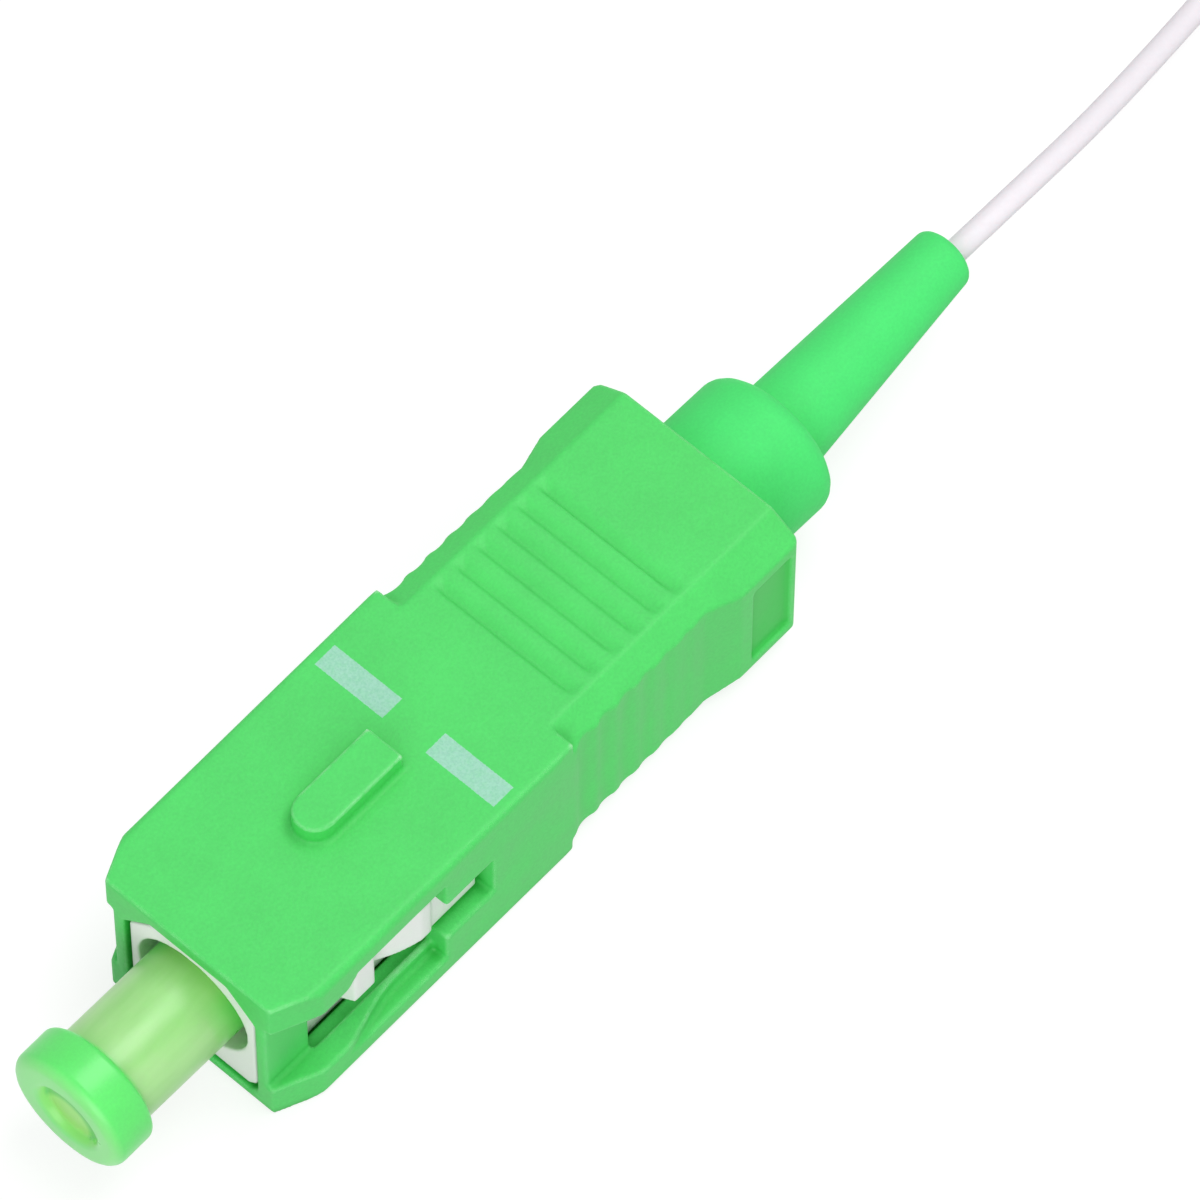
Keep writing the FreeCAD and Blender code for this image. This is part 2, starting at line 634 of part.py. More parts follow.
def make_guide_tube():
    """Clear tube that guides the buffered cord from the flange's stem through the stop ring."""
    body = new_body("guide_tube")
    turned(body, "turned", ring_profile(LEAD_FRONT, NECK_END, CORD_HOLE, "tube_diameter / 2"))
    return body


def make_boot():
    """Rubber boot pushed over the stop ring's neck: a cylinder with a tapered tail."""
    body = new_body("boot")
    neck = "stop_neck_diameter / 2 + boot_bore_clearance"
    side = f"({CAVITY_SIDE} - boot_side_clearance)"
    turned(body, "turned", [
        (f"-{BOOT_FRONT}", neck),
        (f"-{BOOT_FRONT}", side),
        (f"-{BOOT_SHOULDER} + boot_shoulder", side, "boot_shoulder"),
        (f"-{BOOT_SHOULDER}", f"{side} - boot_shoulder"),
        (f"-{BOOT_SHOULDER}", "taper_start_diameter / 2"),
        (f"-{BOOT_TIP} + boot_tip_chamfer", "boot_tip_diameter / 2"),
        (f"-{BOOT_TIP}", "boot_tip_diameter / 2 - boot_tip_chamfer"),
        (f"-{BOOT_TIP}", CORD_HOLE),
        (f"-({NECK_END} + boot_gap)", CORD_HOLE),
        (f"-({NECK_END} + boot_gap)", neck),
    ])
    return body


def make_dust_cap():
    """Moulded dust cap: a tube over the ferrule, closed by a flange with a round recess in its end."""
    body = new_body("dust_cap")
    insert = f"-({BORE_FLOOR} - cap_floor_room)"
    bore = f"({FERRULE_RADIUS} + cap_clearance)"
    flange = "cap_tube_stand"
    end = "(cap_tube_stand + cap_flange_thickness)"
    recess_floor = f"({end} - cap_recess_depth)"
    bore_end = f"({recess_floor} - cap_end_wall)"
    turned(body, "turned", [
        (insert, bore),
        (insert, f"{bore} + cap_wall"),
        (flange, f"{bore} + cap_wall"),
        (flange, "cap_flange_diameter / 2"),
        (f"{end} - cap_flange_chamfer", "cap_flange_diameter / 2"),
        (end, "cap_flange_diameter / 2 - cap_flange_chamfer"),
        (end, "cap_recess_diameter / 2"),
        (recess_floor, "cap_recess_diameter / 2"),
        (recess_floor, "0"),
        (bore_end, "0"),
        (bore_end, bore),
    ])
    return body


def make_cord_lead():
    """The cord's straight stretch inside the guide tube and the boot."""
    body = new_body("cord_lead")
    section = new_sketch(body, "section", "YZ_Plane", f"-{LEAD_FRONT}")
    add_circle(section, "0", "0", "cord_diameter / 2")
    feature(body, "Pad", section, f"{BOOT_TIP} - {LEAD_FRONT}", backwards=True)
    return body


def rounded_route(points):
    """Straight runs through the points, joined by arcs that touch them, and the arcs' radii."""
    places = [FreeCAD.Vector(*point) for point in points]
    edges, radii = [], []
    last = places[0]
    for before, corner, after in zip(places, places[1:], places[2:]):
        to_back = before - corner
        to_front = after - corner
        turn = math.pi - to_back.getAngle(to_front)
        reach = 0.45 * min(to_back.Length, to_front.Length)
        radius = reach / math.tan(turn / 2)
        to_back.normalize()
        to_front.normalize()
        inward = (to_back + to_front).normalize()
        start = corner + to_back * reach
        end = corner + to_front * reach
        middle = corner + inward * (radius / math.cos(turn / 2) - radius)
        edges += [Part.LineSegment(last, start).toShape(), Part.Arc(start, middle, end).toShape()]
        radii.append(radius)
        last = end
    edges.append(Part.LineSegment(last, places[-1]).toShape())
    return Part.Wire(edges), radii


def make_cord_run():
    """The free cord from the boot's tip to the hank."""
    route, radii = rounded_route(CORD_POINTS)
    radius = worth("cord_diameter / 2")
    start = FreeCAD.Vector(*CORD_POINTS[0])
    heading = FreeCAD.Vector(*CORD_POINTS[1]) - start
    section = Part.Wire(Part.makeCircle(radius, start, heading))
    run = doc.addObject("Part::Feature", "cord_run")
    run.Label = "cord_run"
    run.Shape = route.makePipeShell([section], True, False)
    run.Placement = FreeCAD.Placement()
    print("cord radii", [round(value, 1) for value in radii])
    print("cord volume against section times length",
          round(run.Shape.Volume / (math.pi * radius ** 2 * route.Length), 4))
    return run


# The hank lies on the table behind the free cord, which runs into the outermost strand of its side.
HANK_BASE = "(tie_wall + tie_clearance - grip_height / 2)"
HANK_BEND = "(hank_inner_radius + hank_width)"
HANK_CENTRE = f"({CORD_POINTS[-1][1]} + {HANK_BEND} - cord_diameter / 2)"
HANK_NEAR = f"({CORD_POINTS[-1][0]} - hank_entry)"


def racetrack(radius):
    """The hank's long closed loop: two straight runs joined by half turns, each of two quarter arcs."""
    far = f"({HANK_NEAR} - hank_run)"
    return [
        (HANK_NEAR, f"{HANK_CENTRE} - {radius}", radius),
        (f"{HANK_NEAR} + {radius}", HANK_CENTRE, radius),
        (HANK_NEAR, f"{HANK_CENTRE} + {radius}"),
        (far, f"{HANK_CENTRE} + {radius}", radius),
        (f"{far} - {radius}", HANK_CENTRE, radius),
        (far, f"{HANK_CENTRE} - {radius}"),
    ]


def make_cord_hank():
    """The put-away cord, wound into a long neat hank: one solid of its outer shape."""
    body = new_body("cord_hank")
    loops = new_sketch(body, "loops", "XY_Plane", HANK_BASE)
    for radius in (HANK_BEND, "hank_inner_radius"):
        add_loop(loops, racetrack(radius))
    feature(body, "Pad", loops, "hank_thickness")
    return body


def make_coil_tie():
    """White wrap round both runs of the hank."""
    body = new_body("coil_tie")
    sketch = new_sketch(body, "section", "YZ_Plane", f"{HANK_NEAR} - (hank_run - tie_length) / 2")
    for grow in ("tie_clearance", "(tie_clearance + tie_wall)"):
        add_loop(sketch, [
            (f"{HANK_CENTRE} - {HANK_BEND} - {grow}", f"{HANK_BASE} - {grow}"),
            (f"{HANK_CENTRE} + {HANK_BEND} + {grow}", f"{HANK_BASE} - {grow}"),
            (f"{HANK_CENTRE} + {HANK_BEND} + {grow}", f"{HANK_BASE} + hank_thickness + {grow}"),
            (f"{HANK_CENTRE} - {HANK_BEND} - {grow}", f"{HANK_BASE} + hank_thickness + {grow}"),
        ])
    feature(body, "Pad", sketch, "tie_length", backwards=True)
    return body


pieces = [
    make_grip(), make_plug_frame(), make_ferrule(), make_ferrule_flange(), make_fibre(),
    make_buffer_end(), make_coil_spring(), make_stop_ring(), make_guide_tube(), make_boot(),
    make_dust_cap(), make_cord_lead(), make_cord_run(), make_cord_hank(), make_coil_tie(),
]
doc.recompute()

for item in doc.Objects:
    if {"Invalid", "Error"} & set(item.State):
        raise RuntimeError(f"{item.Name} is in state {item.State}")
for piece in pieces:
    if piece.Shape.isNull() or not piece.Shape.isValid():
        raise RuntimeError(f"{piece.Label} has no valid shape")

os.makedirs("parts", exist_ok=True)
for piece in pieces:
    piece.Shape.exportStep(f"parts/{piece.Label}.step")
    box = piece.Shape.BoundBox
    print(f"{piece.Label}: {len(piece.Shape.Solids)} solid, {piece.Shape.Volume:.2f} mm3, "
          f"x {box.XMin:.2f} {box.XMax:.2f}, y {box.YMin:.2f} {box.YMax:.2f}, "
          f"z {box.ZMin:.2f} {box.ZMax:.2f}")
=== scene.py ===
import functools
import json
import math
import random

import bmesh
import bpy
import numpy as np
from mathutils import Matrix, Vector, noise


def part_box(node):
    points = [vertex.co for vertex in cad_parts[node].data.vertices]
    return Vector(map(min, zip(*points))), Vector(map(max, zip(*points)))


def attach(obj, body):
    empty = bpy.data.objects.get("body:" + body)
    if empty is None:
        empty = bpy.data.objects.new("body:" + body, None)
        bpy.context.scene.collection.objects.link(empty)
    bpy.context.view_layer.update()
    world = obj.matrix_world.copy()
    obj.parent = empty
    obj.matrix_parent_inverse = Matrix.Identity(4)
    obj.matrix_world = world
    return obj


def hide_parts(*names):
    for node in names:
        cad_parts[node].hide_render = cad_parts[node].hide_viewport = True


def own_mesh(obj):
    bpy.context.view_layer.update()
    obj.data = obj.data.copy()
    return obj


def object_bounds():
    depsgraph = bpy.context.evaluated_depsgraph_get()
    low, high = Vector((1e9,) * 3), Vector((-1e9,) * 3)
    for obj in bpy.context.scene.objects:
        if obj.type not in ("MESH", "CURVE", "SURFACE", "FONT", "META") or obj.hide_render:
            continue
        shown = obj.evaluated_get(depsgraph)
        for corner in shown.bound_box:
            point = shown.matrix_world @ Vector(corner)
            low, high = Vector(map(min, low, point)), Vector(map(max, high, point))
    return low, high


# The looks of a green fibre connector with its dust cap on, and its thin white cord put away in a hank.
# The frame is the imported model's: +X out of the mating end, +Z to the key's side. Lengths are written in
# millimetres, unless a comment says otherwise, and MM turns them into Blender's metres.

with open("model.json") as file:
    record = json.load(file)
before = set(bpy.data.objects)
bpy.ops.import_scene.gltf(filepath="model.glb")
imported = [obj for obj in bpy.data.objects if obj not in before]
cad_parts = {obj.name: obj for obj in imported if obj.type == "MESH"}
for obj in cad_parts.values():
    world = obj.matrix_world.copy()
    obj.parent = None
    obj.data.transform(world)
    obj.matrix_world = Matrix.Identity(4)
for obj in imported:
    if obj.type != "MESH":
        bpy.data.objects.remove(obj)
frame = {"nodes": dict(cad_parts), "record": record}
cad_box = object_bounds()

MM = 0.001
scene = bpy.context.scene


def put(obj):
    """Adds a new object to the scene."""
    scene.collection.objects.link(obj)
    return obj


def millimetres(node):
    """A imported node's lowest and highest corners, in millimetres."""
    low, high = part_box(node)
    return low / MM, high / MM


# ---------------------------------------------------------------- camera and cord


def add_camera():
    """A long lens, high over the mating end and to its right."""
    azimuth, elevation, roll = (math.radians(angle) for angle in (41.466, 61.098, 0.456))
    target, distance = Vector((-18.063, 2.464, 6.572)) * MM, 360.82 * MM
    back = Vector((math.cos(elevation) * math.cos(azimuth),
                   math.cos(elevation) * math.sin(azimuth), math.sin(elevation)))
    level = Vector((-math.sin(azimuth), math.cos(azimuth), 0))
    right = level * math.cos(roll) + back.cross(level) * math.sin(roll)
    data = bpy.data.cameras.new("camera")
    data.lens, data.sensor_width = 327.41, 36
    data.clip_start, data.clip_end = 0.01, 20
    camera = put(bpy.data.objects.new("camera", data))
    turn = Matrix((right, back.cross(right), back)).transposed().to_4x4()
    camera.matrix_world = Matrix.Translation(target + back * distance) @ turn
    scene.camera = camera


# The free cord's route, the same points as in the part's source.
CORD_ROUTE = [
    (-38.6, 0.0, 0.0),
    (-42.4, 0.04, -0.08),
    (-46.4, -0.1, -0.62),
    (-50.6, -0.6, -1.55),
    (-54.8, -1.2, -2.5),
    (-58.6, -1.65, -2.9),
    (-62.0, -1.85, -2.98),
]
CORD_DIAMETER = 0.9
# The hank: its straight runs, the radius inside its round ends, and how far behind the route it starts.
HANK_RUN, HANK_INNER, HANK_ENTRY = 18.0, 2.7, 2.0
STRANDS_ACROSS, LAYERS = 3, 5
# How far a strand strays sideways, and how far it lifts off the ones below.
STRAY, LIFT = 0.05, 0.03
# Control points along a straight run, as shares of it, and the number of them round an end.
RUN_SHARES = (0.1, 0.5)
BEND_POINTS = 4


def hank_turns(radius, height):
    """Each turn's radius and height: a layer from the outside in, then one on it from the inside out."""
    chance = random.Random(7)
    turns = []
    for layer in range(LAYERS):
        across = range(STRANDS_ACROSS) if layer % 2 == 0 else reversed(range(STRANDS_ACROSS))
        turns += [(radius - CORD_DIAMETER * place + chance.uniform(-STRAY, STRAY),
                   height + CORD_DIAMETER * layer + chance.uniform(0, LIFT)) for place in across]
    return turns


def hank_points():
    """Control points of the hank. Each turn runs to the far end on the -Y side and back on the other,
    and goes over to the next turn's radius and height round the near end."""
    entry = Vector(CORD_ROUTE[-1])
    outer = HANK_INNER + CORD_DIAMETER * (STRANDS_ACROSS - 0.5)
    centre = entry.y + outer
    near = entry.x - HANK_ENTRY
    far = near - HANK_RUN
    half_step = math.pi / BEND_POINTS / 2
    turns = hank_turns(outer, entry.z)
    points = []
    for here, after in zip(turns, turns[1:] + turns[-1:]):
        radius, level = here
        for side, start, end, (next_radius, next_level) in ((-1, near, far, here), (1, far, near, after)):
            aside = centre + side * radius
            points += [(start + side * HANK_RUN * share, aside, level) for share in RUN_SHARES]
            points.append((end - side * radius * math.tan(half_step), aside, level))
            for step in range(BEND_POINTS):
                share = (step + 0.5) / BEND_POINTS
                angle = math.pi * share
                bend = side * (radius + (next_radius - radius) * share) / math.cos(half_step)
                points.append((end + bend * math.sin(angle), centre + bend * math.cos(angle),
                               level + (next_level - level) * share))
    # The cord ends half way round its last bend.
    return points[:len(points) - BEND_POINTS // 2]


def add_cord():
    """The whole cord as one smooth curve: the free route, and then the hank."""
    data = bpy.data.curves.new("cord", "CURVE")
    data.dimensions = "3D"
    data.bevel_depth = CORD_DIAMETER / 2 * MM
    data.bevel_resolution = 6
    data.resolution_u = 10
    data.use_fill_caps = True
    spline = data.splines.new("NURBS")
    points = CORD_ROUTE + hank_points()
    spline.points.add(len(points) - 1)
    for place, point in zip(points, spline.points):
        point.co = (*(Vector(place) * MM), 1)
    spline.order_u = 3
    spline.use_endpoint_u = True
    return put(bpy.data.objects.new("cord", data))


add_camera()
cord = add_cord()

# ---------------------------------------------------------------- materials

# Sizes that both the shapes and the colours go by: the height of the grip's flats, the length of the
# cap's flange and the radius of its recess.
GRIP_FLAT, CAP_FLANGE, CAP_RECESS = 3.7, 1.8, 1.25


def linear(red, green, blue):
    """A display colour, 0 to 255, as the linear colour that shaders take."""
    return tuple((value / 255) ** 2.2 for value in (red, green, blue)) + (1.0,)


def shaded(colour, factor):
    """A linear colour made darker or lighter by a factor."""
    return tuple(min(value * factor, 1.0) for value in colour[:3]) + (1.0,)


class Graph:
    """The nodes of a material or of the world, and short ways to add and feed them."""

    def __init__(self, owner):
        owner.use_nodes = True
        self.tree = owner.node_tree
        self.tree.nodes.clear()

    def add(self, kind, values=(), **settings):
        """A new node with its settings, and with values or links for some of its inputs."""
        node = self.tree.nodes.new(kind)
        for key, value in settings.items():
            setattr(node, key, value)
        for key, value in dict(values).items():
            self.feed(node.inputs[key], value)
        return node

    def feed(self, socket, value):
        """Gives an input a value, or links another node's output to it."""
        if isinstance(value, bpy.types.NodeSocket):
            self.tree.links.new(value, socket)
        else:
            socket.default_value = value

    def maths(self, operation, *values):
        return self.add("ShaderNodeMath", dict(enumerate(values)), operation=operation).outputs[0]

    def times(self, first, second):
        return self.maths("MULTIPLY", first, second)

    def plus(self, first, second):
        return self.maths("ADD", first, second)

    def split_rays(self, lighting, background):
        """The background shader for rays from the camera, also by way of gloss or clear material, and
        the lighting one for the rays that light the object."""
        rays = self.add("ShaderNodeLightPath").outputs
        seen = rays["Is Camera Ray"]
        for kind in ("Is Glossy Ray", "Is Transmission Ray"):
            seen = self.maths("MAXIMUM", seen, rays[kind])
        values = {0: seen, 1: lighting.outputs[0], 2: background.outputs[0]}
        return self.add("ShaderNodeMixShader", values).outputs[0]


class Surface(Graph):
    """A material with one Principled shader, whose colours are laid on in coats."""

    def __init__(self, name, settings):
        self.material = bpy.data.materials.new(name)
        super().__init__(self.material)
        self.shader = self.add("ShaderNodeBsdfPrincipled", settings)
        self.add("ShaderNodeOutputMaterial", {"Surface": self.shader.outputs[0]})
        self.place = self.add("ShaderNodeTexCoord").outputs["Object"]

    def axes(self):
        """The x, y and z of a point on the surface, in millimetres."""
        values = {0: self.place, "Scale": 1 / MM}
        scaled = self.add("ShaderNodeVectorMath", values, operation="SCALE").outputs[0]
        return self.add("ShaderNodeSeparateXYZ", {"Vector": scaled}).outputs

    def distance(self, y, z, middle=(0.0, 0.0)):
        """How far a point is from the line along x that passes through middle, (y, z)."""
        point = self.add("ShaderNodeCombineXYZ", {"Y": y, "Z": z}).outputs[0]
        values = {0: point, 1: (0.0, *middle)}
        return self.add("ShaderNodeVectorMath", values, operation="DISTANCE").outputs["Value"]

    def noise(self, scale, detail):
        """Cloudy noise over the piece, with scale in cells a metre."""
        values = {"Vector": self.place, "Scale": scale, "Detail": detail, "Roughness": 0.6}
        return self.add("ShaderNodeTexNoise", values).outputs["Fac"]

    def ramp(self, value, start, end, low=0.0, high=1.0):
        """Runs from low to high while the value runs from start to end, and stays there."""
        values = {"Value": value, "From Min": start, "From Max": end, "To Min": low, "To Max": high}
        return self.add("ShaderNodeMapRange", values).outputs["Result"]

    def mask(self, ranges, blur):
        """1 where each value lies within its range (value, low, high), fading to 0 over blur outside."""
        mask = 1.0
        for value, low, high in ranges:
            for edge, sign in ((low, -1), (high, 1)):
                mask = self.times(mask, self.ramp(value, edge, edge + sign * blur, 1, 0))
        return mask

    def tint(self, factor, first, second):
        """A colour between two, by a factor from 0 to 1."""
        node = self.add("ShaderNodeMix", data_type="RGBA")
        sockets = [socket for socket in node.inputs if socket.enabled]
        for socket, value in zip(sockets, (factor, first, second)):
            self.feed(socket, value)
        return next(socket for socket in node.outputs if socket.enabled)

    def paint(self, colour):
        """Sets the surface's own colour."""
        self.colour = colour
        self.feed(self.shader.inputs["Base Color"], colour)

    def coat(self, factor, colour):
        """Lays a colour over the surface's own, by a factor from 0 to 1."""
        self.paint(self.tint(factor, self.colour, colour))

    def relief(self, height, depth, under=None):
        """A bump whose full height is depth, over the normal under."""
        values = {"Height": height, "Distance": depth * MM, "Strength": 1.0}
        if under is not None:
            values["Normal"] = under
        return self.add("ShaderNodeBump", values).outputs["Normal"]

    def nearness(self, reach, inside):
        """0 on open faces, towards 1 by a raised edge (inside) or in a corner (outside)."""
        node = self.add("ShaderNodeAmbientOcclusion", {"Distance": reach * MM}, inside=inside,
                        only_local=inside, samples=6)
        return self.maths("SUBTRACT", 1.0, node.outputs["AO"])

    def soft_edges(self, radius):
        """The normal as if sharp edges had this radius."""
        return self.add("ShaderNodeBevel", {"Radius": radius * MM}, samples=8).outputs["Normal"]


def make_surface(name, colour, shade, rough, grain, edge, shine=0.5, glow=0.0,
                 glow_reach=(0.8, 0.8, 0.8), **settings):
    """A surface with faint clouds in its colour, an uneven gloss, a fine grain and soft edges.

    shade is how far the clouds lighten and darken the colour, and rough the least and most roughness.
    grain is the grain's depth, edge the edges' radius, and glow_reach how far light spreads inside."""
    values = {key.replace("_", " ").title(): value for key, value in settings.items()}
    values |= {"Specular IOR Level": shine, "Subsurface Weight": glow, "Subsurface Scale": MM,
               "Subsurface Radius": glow_reach}
    surface = Surface(name, values)
    clouds, fine = surface.noise(scale=420, detail=4), surface.noise(scale=9000, detail=2)
    mixed = surface.plus(surface.times(clouds, 0.55), surface.times(fine, 0.45))
    dark, light = shaded(linear(*colour), 1 - shade), shaded(linear(*colour), 1 + shade)
    surface.paint(surface.tint(surface.ramp(mixed, 0.35, 0.65), dark, light))
    surface.feed(surface.shader.inputs["Roughness"], surface.ramp(clouds, 0.3, 0.7, *rough))
    under = surface.soft_edges(edge) if edge else None
    surface.feed(surface.shader.inputs["Normal"], surface.relief(fine, grain, under))
    return surface


def detail_grip(surface):
    """Pale edges, partly wear and partly a painted highlight, painted shade in deep green corners, two
    bars printed beside the key, and painted shade that darkens the floor of the recess in the flank."""
    low, high = millimetres("grip")
    x, y, z = surface.axes()
    # Pale edges: partly wear, and partly a painted highlight where light catches the rounded edges.
    patches = surface.ramp(surface.noise(2500, 3), 0.36, 0.58, 0.3, 1.0)
    wear_and_highlight = surface.ramp(surface.nearness(0.18, inside=True), 0.17, 0.32, 0, 0.85)
    surface.coat(surface.times(wear_and_highlight, patches), linear(184, 246, 192))
    # Painted shade: inner corners and grooves are painted a deeper green.
    corners = surface.ramp(surface.nearness(0.45, inside=False), 0.08, 0.5, 0, 0.85)
    surface.coat(corners, linear(30, 176, 54))

    front, back, inner, outer = high.x - 10.6, high.x - 11.56, 0.98, 4.0
    ragged = surface.ramp(surface.noise(14000, 2), 0.3, 0.7, -0.012, 0.012)
    bars = surface.mask((
        (surface.plus(x, ragged), back, front),
        (surface.plus(surface.maths("ABSOLUTE", y), ragged), inner, outer),
        (z, GRIP_FLAT - 0.1, GRIP_FLAT + 0.1),
    ), blur=0.02)
    cover = surface.ramp(surface.noise(5000, 3), 0.3, 0.6, 0.85, 1.0)
    speckles = surface.ramp(surface.noise(11000, 3), 0.35, 0.65)
    ink = surface.tint(speckles, linear(149, 211, 184), linear(166, 222, 198))
    surface.coat(surface.times(bars, cover), ink)

    # Painted shade: the floor of the recess in the flank is painted darker.
    recess = surface.mask(((x, low.x + 0.4, low.x + 2.3), (y, 4.0, 4.46), (z, -2.45, 2.25)),
                          blur=0.05)
    surface.coat(surface.times(recess, 0.5), linear(35, 188, 58))


def detail_cap(surface):
    """The colours of see-through plastic: a flange face painted paler as painted light, a streaky
    yellow-green tube with painted light and a painted reflection beside the frame's bore, and a bright
    recess with a painted shadow under its lip."""
    end = millimetres("dust_cap")[1].x
    x, y, z = surface.axes()
    # Painted light: the flange's end face is painted paler than its side.
    surface.coat(surface.ramp(x, end - 0.35, end - 0.05), linear(140, 244, 140))
    behind = surface.ramp(x, end - CAP_FLANGE, end - CAP_FLANGE - 0.2)
    surface.coat(behind, tube_colour(surface, x, y, z))
    recess = surface.times(surface.ramp(surface.distance(y, z), CAP_RECESS + 0.2, CAP_RECESS - 0.15),
                           surface.ramp(x, end - 0.01, end - 0.1))
    # A painted shadow: a deeper green arc under the recess's lip, outside a circle set off from its
    # middle.
    painted_shadow = surface.times(surface.ramp(surface.distance(y, z, (-0.3, -0.84)), 0.9, 1.15, 0, 0.75),
                             surface.ramp(x, end - 0.2, end - 0.3))
    surface.coat(recess, surface.tint(painted_shadow, linear(168, 252, 128), linear(62, 208, 84)))


def tube_colour(surface, x, y, z):
    """The tube's streaks along x, and beside the frame's bore painted light: a stronger yellow-green in
    the middle that lifts the shade there, and a painted reflection of the green grip on the sides."""
    drawn_out = surface.add("ShaderNodeCombineXYZ", {"X": surface.times(x, 0.2), "Y": y, "Z": z})
    values = {"Vector": drawn_out.outputs[0], "Scale": 0.9, "Detail": 3}
    streaks = surface.add("ShaderNodeTexNoise", values).outputs["Fac"]
    body = surface.tint(surface.ramp(streaks, 0.35, 0.65), linear(158, 224, 134), linear(178, 236, 155))
    # Painted light: beside the bore the tube is painted a stronger, lighter yellow-green where it lies in
    # shade.
    bore_painted_light = surface.times(surface.ramp(x, 0.3, -1.3), surface.ramp(x, -3.2, -2.0))
    # Painted reflection: the green grip painted onto the tube's sides beside the bore.
    painted_grip_reflection = surface.times(surface.ramp(surface.maths("ABSOLUTE", y), 1.0, 1.6), bore_painted_light)
    tube = surface.tint(bore_painted_light, body, linear(161, 255, 124))
    return surface.tint(surface.times(painted_grip_reflection, 0.8), tube, linear(68, 232, 87))


# Each slot's finish, in make_surface's own terms, and what two of them get on top.
FINISHES = {
    "green_plastic": dict(colour=(81, 216, 104), shade=0.07, rough=(0.46, 0.56), grain=0.009, edge=0.12,
                          shine=0.4, glow=0.15, glow_reach=(0.3, 0.9, 0.4)),
    "cap_plastic": dict(colour=(101, 236, 115), shade=0.04, rough=(0.26, 0.35), grain=0.003, edge=0.0,
                        glow=0.6, glow_reach=(0.8, 1.6, 0.6)),
    "green_rubber": dict(colour=(79, 232, 119), shade=0.05, rough=(0.62, 0.72), grain=0.004, edge=0.0,
                         shine=0.4, glow=0.3, glow_reach=(0.4, 1.2, 0.5)),
    "white_plastic": dict(colour=(250, 255, 251), shade=0.02, rough=(0.34, 0.44), grain=0.003, edge=0.1,
                          glow=0.25, glow_reach=(0.5, 0.6, 0.5)),
    "white_ceramic": dict(colour=(238, 234, 228), shade=0.01, rough=(0.08, 0.14), grain=0.0005,
                          edge=0.05, glow=0.3),
    "plated_metal": dict(colour=(196, 196, 198), shade=0.03, rough=(0.22, 0.32), grain=0.001, edge=0.05,
                         metallic=1.0),
    "spring_steel": dict(colour=(168, 170, 174), shade=0.04, rough=(0.2, 0.3), grain=0.001, edge=0.05,
                         metallic=1.0),
    "clear_tube": dict(colour=(236, 236, 232), shade=0.01, rough=(0.1, 0.18), grain=0.001, edge=0.0,
                       transmission_weight=0.7),
    "glass_fibre": dict(colour=(240, 244, 244), shade=0.01, rough=(0.03, 0.06), grain=0.0002, edge=0.0,
                        transmission_weight=0.9),
    "cord_jacket": dict(colour=(243, 237, 243), shade=0.02, rough=(0.5, 0.6), grain=0.003, edge=0.0,
                        shine=0.3, glow=0.4, glow_reach=(0.6, 0.5, 0.5)),
    "wrap": dict(colour=(238, 238, 238), shade=0.02, rough=(0.5, 0.62), grain=0.006, edge=0.0, glow=0.1),
}
DETAILS = {"green_plastic": detail_grip, "cap_plastic": detail_cap}


@functools.cache
def finish_of(slot):
    """A slot's material, made when it is first asked for."""
    surface = make_surface(slot, **FINISHES[slot])
    if slot in DETAILS:
        DETAILS[slot](surface)
    return surface.material


# ---------------------------------------------------------------- ways to make shapes

# Segments round a turned piece, and the angle in degrees from which an edge shows as sharp.
TURN_SEGMENTS, SHARP_ANGLE = 128, 40
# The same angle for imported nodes.
SPLIT_ANGLE = 30
# Points nearer than this, in metres, are one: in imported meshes, and in those made here.
PACKED_GAP, MADE_GAP = 1e-6, 1e-7
# The grids that round the edges of moulded pieces.
GRIDS = {"grip": 0.08, "plug_frame": 0.06}


def rounded(corners, steps=6):
    """The outline through corners (x, r, radius), with an arc at each corner that has a radius."""
    points = []
    for index, (x, r, radius) in enumerate(corners):
        corner = Vector((x, r))
        if not radius:
            points.append(corner)
            continue
        before = (Vector(corners[index - 1][:2]) - corner).normalized()
        after = (Vector(corners[(index + 1) % len(corners)][:2]) - corner).normalized()
        half = before.angle(after) / 2
        middle = corner + (before + after).normalized() * radius / math.sin(half)
        reach = radius / math.tan(half)
        start, end = corner + before * reach - middle, corner + after * reach - middle
        for step in range(steps + 1):
            share = step / steps
            points.append(middle + (start * (1 - share) + end * share).normalized() * radius)
    return points


def evenly(outline, count):
    """As many points at even steps round a closed outline."""
    lengths = [(outline[index] - outline[index - 1]).length for index in range(len(outline))]
    total, points = sum(lengths), []
    index, passed = 0, 0.0
    for step in range(count):
        wanted = total * step / count
        while passed + lengths[index] < wanted:
            passed += lengths[index]
            index += 1
        share = (wanted - passed) / lengths[index]
        points.append(outline[index - 1].lerp(outline[index], share))
    return points


def skinned(name, mesh, rings):
    """An object whose faces join each ring of points to the next, and the last to the first. It is
    smooth where its faces meet at less than the sharp angle."""
    for here, there in zip(rings, rings[1:] + rings[:1]):
        for index in range(len(here)):
            mesh.faces.new((here[index], there[index], there[index - 1], here[index - 1]))
    bmesh.ops.remove_doubles(mesh, verts=mesh.verts, dist=MADE_GAP)
    bmesh.ops.recalc_face_normals(mesh, faces=mesh.faces)
    data = bpy.data.meshes.new(name)
    mesh.to_mesh(data)
    mesh.free()
    data.shade_smooth()
    data.set_sharp_from_angle(angle=math.radians(SHARP_ANGLE))
    return put(bpy.data.objects.new(name, data))


def turned(name, corners):
    """A closed outline (x, r, radius), turned about the optical axis."""
    outline = [point * MM for point in rounded(corners)]
    mesh = bmesh.new()
    rings = []
    for segment in range(TURN_SEGMENTS):
        angle = 2 * math.pi * segment / TURN_SEGMENTS
        rings.append([mesh.verts.new((point.x, point.y * math.cos(angle), point.y * math.sin(angle)))
                      for point in outline])
    return skinned(name, mesh, rings)


